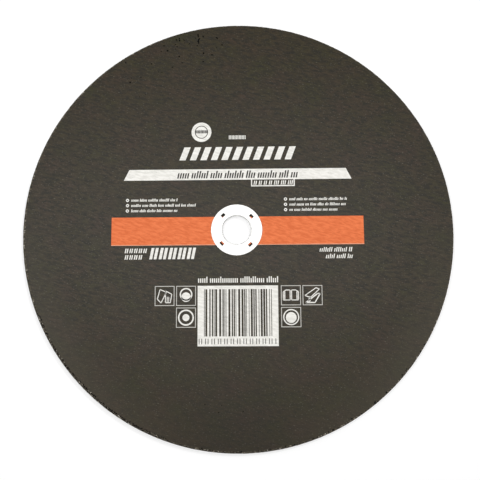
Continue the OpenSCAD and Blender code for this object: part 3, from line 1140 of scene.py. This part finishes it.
upper_scrape = line(-28.0, 144.0, -27.8, 141.2, 0.9)
lower_scrape = line(-27.7, 139.9, -27.4, 136.4, 0.8)
marks_piece("scrapes", [upper_scrape, lower_scrape], FILM_FOOT, FILM_TOP, PIT)


# Underprint that shows as a pale line along the band's lower edge, on both sides of the flange

UNDERPRINT_H = 0.45
FLANGE_CLEAR = 14.6
band_foot = band_low.y / MM
band_line = band_foot + UNDERPRINT_H
pale_strips = []
for left, right in ((band_low.x / MM, -FLANGE_CLEAR), (FLANGE_CLEAR, band_high.x / MM)):
    pale_strips.append([(left, band_foot), (right, band_foot), (right, band_line), (left, band_line)])
marks_piece("underprint", pale_strips, FILM_FOOT, FILM_TOP, PALE_ORANGE)


# Finishes of the solids that stay as they are

for node, material in (("orange_print", ORANGE_INK), ("white_print", WHITE_FIELDS), ("bore_ring", TINPLATE)):
    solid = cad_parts[node]
    solid.data.materials.clear()
    solid.data.materials.append(material)


# Floor, lights and camera, in metres

FLOOR_HALF = 6.0
FLOOR_GREY = (0.8, 0.8, 0.8, 1)
FLOOR_GLOW = 0.262
FLOOR_FADE = (0.165, 0.4)
SKY_LIGHT = 0.45
WALL_R = 1.6
WALL_HALF_H = 0.9
WALL_SIDES = 48
WALL_GREY = (0.28, 0.28, 0.28, 1)
CAMERA_PLACE = Vector((7.29, -37.69, 311.2)) * MM
CAMERA_AIM = Vector((2.3, -7.19, 0)) * MM
CAMERA_ROLL = math.radians(-0.35)
CAMERA_LENS = 33.75
CAMERA_SENSOR = 36


def seen_or_mirrored(tree):
    """Full where the camera or a shiny face looks, none where light only bounces."""
    path = tree.nodes.new("ShaderNodeLightPath")
    return combine(tree, "MAXIMUM", path.outputs["Is Camera Ray"], path.outputs["Is Glossy Ray"])


def pale_floor():
    """White ground that fades out in the picture but keeps the wheel's shadow."""
    material = bpy.data.materials.new("pale_floor")
    material.use_nodes = True
    tree = material.node_tree
    tree.nodes.clear()
    output = tree.nodes.new("ShaderNodeOutputMaterial")
    matt = tree.nodes.new("ShaderNodeBsdfDiffuse")
    matt.inputs["Color"].default_value = FLOOR_GREY
    glow = tree.nodes.new("ShaderNodeEmission")
    seen = seen_or_mirrored(tree)
    tree.links.new(times(tree, seen, FLOOR_GLOW), glow.inputs["Strength"])
    near = tree.nodes.new("ShaderNodeAddShader")
    tree.links.new(matt.outputs["BSDF"], near.inputs[0])
    tree.links.new(glow.outputs["Emission"], near.inputs[1])
    far = tree.nodes.new("ShaderNodeEmission")
    tree.links.new(seen, far.inputs["Strength"])
    place = tree.nodes.new("ShaderNodeTexCoord")
    away = tree.nodes.new("ShaderNodeVectorMath")
    away.operation = "LENGTH"
    tree.links.new(place.outputs["Object"], away.inputs[0])
    fade = tree.nodes.new("ShaderNodeMixShader")
    tree.links.new(span(tree, away.outputs["Value"], *FLOOR_FADE), fade.inputs["Fac"])
    tree.links.new(near.outputs["Shader"], fade.inputs[1])
    tree.links.new(far.outputs["Emission"], fade.inputs[2])
    tree.links.new(fade.outputs["Shader"], output.inputs["Surface"])
    return material


def floor():
    """A wide ground plate under the wheel."""
    made = bmesh.new()
    bmesh.ops.create_grid(made, x_segments=1, y_segments=1, size=FLOOR_HALF)
    mesh = mesh_of("floor", made)
    mesh.materials.append(pale_floor())
    plate = bpy.data.objects.new("floor", mesh)
    scene.collection.objects.link(plate)


def sky():
    """Even white surround, full white where it is seen or mirrored."""
    world = bpy.data.worlds.new("studio")
    scene.world = world
    world.use_nodes = True
    tree = world.node_tree
    ground = tree.nodes["Background"]
    ground.inputs["Color"].default_value = (1, 1, 1, 1)
    tree.links.new(span(tree, seen_or_mirrored(tree), 0, 1, SKY_LIGHT, 1.0), ground.inputs["Strength"])


def dark_surround():
    """A low grey wall all round, out of the picture, that bright metal mirrors at its bends."""
    made = bmesh.new()
    bmesh.ops.create_cone(made, segments=WALL_SIDES, radius1=WALL_R, radius2=WALL_R, depth=2 * WALL_HALF_H)
    mesh = mesh_of("dark_surround", made)
    material, _, shader = fresh_material("dark_surround")
    shader.inputs["Base Color"].default_value = WALL_GREY
    mesh.materials.append(material)
    wall = bpy.data.objects.new("dark_surround", mesh)
    wall.location = (0, 0, WALL_HALF_H)
    wall.visible_camera = False
    wall.visible_diffuse = False
    wall.visible_shadow = False
    scene.collection.objects.link(wall)


def strip_light(name, place, aim, wide, deep, power, mirrored):
    """A soft rectangular lamp pointed at a spot, seen or not seen in shiny faces."""
    lamp = bpy.data.lights.new(name, "AREA")
    lamp.shape = "RECTANGLE"
    lamp.size = wide
    lamp.size_y = deep
    lamp.energy = power
    holder = bpy.data.objects.new(name, lamp)
    holder.location = place
    holder.rotation_euler = (Vector(aim) - Vector(place)).to_track_quat("-Z", "Y").to_euler()
    holder.visible_glossy = mirrored
    scene.collection.objects.link(holder)


def camera():
    """The photograph's view: close over the wheel and a little below its middle."""
    face = Vector((0, 0, WHEEL_TOP))
    place = CAMERA_PLACE + face
    back = (place - (CAMERA_AIM + face)).normalized()
    right = Vector((0, 1, 0)).cross(back).normalized()
    turn = Matrix((right, back.cross(right), back)).transposed() @ Matrix.Rotation(CAMERA_ROLL, 3, "Z")
    data = bpy.data.cameras.new("camera")
    data.sensor_width = CAMERA_SENSOR
    data.lens = CAMERA_LENS
    data.clip_start = 0.01
    holder = bpy.data.objects.new("camera", data)
    scene.collection.objects.link(holder)
    holder.matrix_world = Matrix.Translation(place) @ turn.to_4x4()
    scene.camera = holder


floor()
sky()
dark_surround()
strip_light("overhead", (-0.15, 0.09, 0.75), (-0.15, 0.09, 0), wide=1.3, deep=0.4, power=3.75, mirrored=True)
strip_light("window", (1.1, 1.1, 1.3), (0, 0, 0), wide=0.32, deep=0.32, power=8.5, mirrored=False)
camera()
